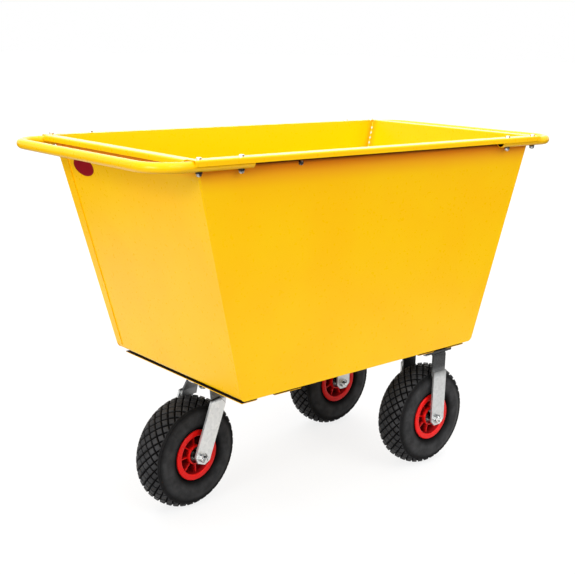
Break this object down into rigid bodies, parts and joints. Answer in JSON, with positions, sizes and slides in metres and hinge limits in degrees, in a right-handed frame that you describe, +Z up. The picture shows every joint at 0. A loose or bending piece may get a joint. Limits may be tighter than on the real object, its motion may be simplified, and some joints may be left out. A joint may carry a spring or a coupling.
{
  "type": "tub cart",
  "caption": "Deep open sheet-steel tub on a swivel caster in front and fixed casters behind, with pneumatic tyres and a tube handle at each end, for wheeling loose waste or feed.",
  "frame": {"origin": "on the ground under the middle of the cart", "axes": "+Z up, front (swivel end) at -X, left side at -Y"},
  "size_m": [1.2374, 0.593, 0.8444],
  "materials": {
    "yellow_paint": "glossy powder coat on sheet steel",
    "zinc_plate": "bright zinc plating",
    "black_oxide": "black oxide",
    "bearing_steel": "ground",
    "red_plastic": "moulded",
    "tyre_rubber": "moulded",
    "butyl_rubber": "matte",
    "badge_enamel": "glossy"
  },
  "bodies": {
    "cart": {"tub_pan": "yellow_paint", "left_side_panel": "yellow_paint", "right_side_panel": "yellow_paint", "front_cross_member": "yellow_paint", "rear_cross_member": "yellow_paint", "front_handle": "yellow_paint", "rear_handle": "yellow_paint", "handle_bolts": "zinc_plate", "handle_nuts": "zinc_plate", "side_bolt": "zinc_plate", "side_nut": "zinc_plate", "swivel_plate": "zinc_plate", "race_cover": "zinc_plate", "kingpin": "zinc_plate", "kingpin_washer": "zinc_plate", "kingpin_nut": "zinc_plate", "left_fixed_fork": "zinc_plate", "right_fixed_fork": "zinc_plate", "plate_bolts": "zinc_plate", "plate_nuts": "zinc_plate", "left_axle_bolt": "zinc_plate", "left_axle_nut": "zinc_plate", "left_axle_spacers": "zinc_plate", "right_axle_bolt": "zinc_plate", "right_axle_nut": "zinc_plate", "right_axle_spacers": "zinc_plate", "handle_washers": "black_oxide", "badge_plate": "badge_enamel", "swivel_balls": "bearing_steel"},
    "swivel": {"swivel_fork": "zinc_plate", "front_axle_bolt": "zinc_plate", "front_axle_nut": "zinc_plate", "front_axle_spacers": "zinc_plate"},
    "front_wheel": {"front_rim": "red_plastic", "front_bearings": "bearing_steel", "front_tyre": "tyre_rubber", "front_inner_tube": "butyl_rubber"},
    "left_wheel": {"left_rim": "red_plastic", "left_bearings": "bearing_steel", "left_tyre": "tyre_rubber", "left_inner_tube": "butyl_rubber"},
    "right_wheel": {"right_rim": "red_plastic", "right_bearings": "bearing_steel", "right_tyre": "tyre_rubber", "right_inner_tube": "butyl_rubber"}
  },
  "joints": [
    {"name": "swivel_turn", "type": "hinge", "parent": "cart", "child": "swivel", "pos_m": [-0.295, 0, 0.29], "axis": [0, 0, 1], "continuous": true},
    {"name": "front_wheel_spin", "type": "hinge", "parent": "swivel", "child": "front_wheel", "pos_m": [-0.34765, -0.00609, 0.13], "axis": [-0.1149, 0.9934, 0], "continuous": true},
    {"name": "left_wheel_spin", "type": "hinge", "parent": "cart", "child": "left_wheel", "pos_m": [0.273, -0.173, 0.13], "axis": [0, 1, 0], "continuous": true},
    {"name": "right_wheel_spin", "type": "hinge", "parent": "cart", "child": "right_wheel", "pos_m": [0.273, 0.173, 0.13], "axis": [0, 1, 0], "continuous": true}
  ]
}
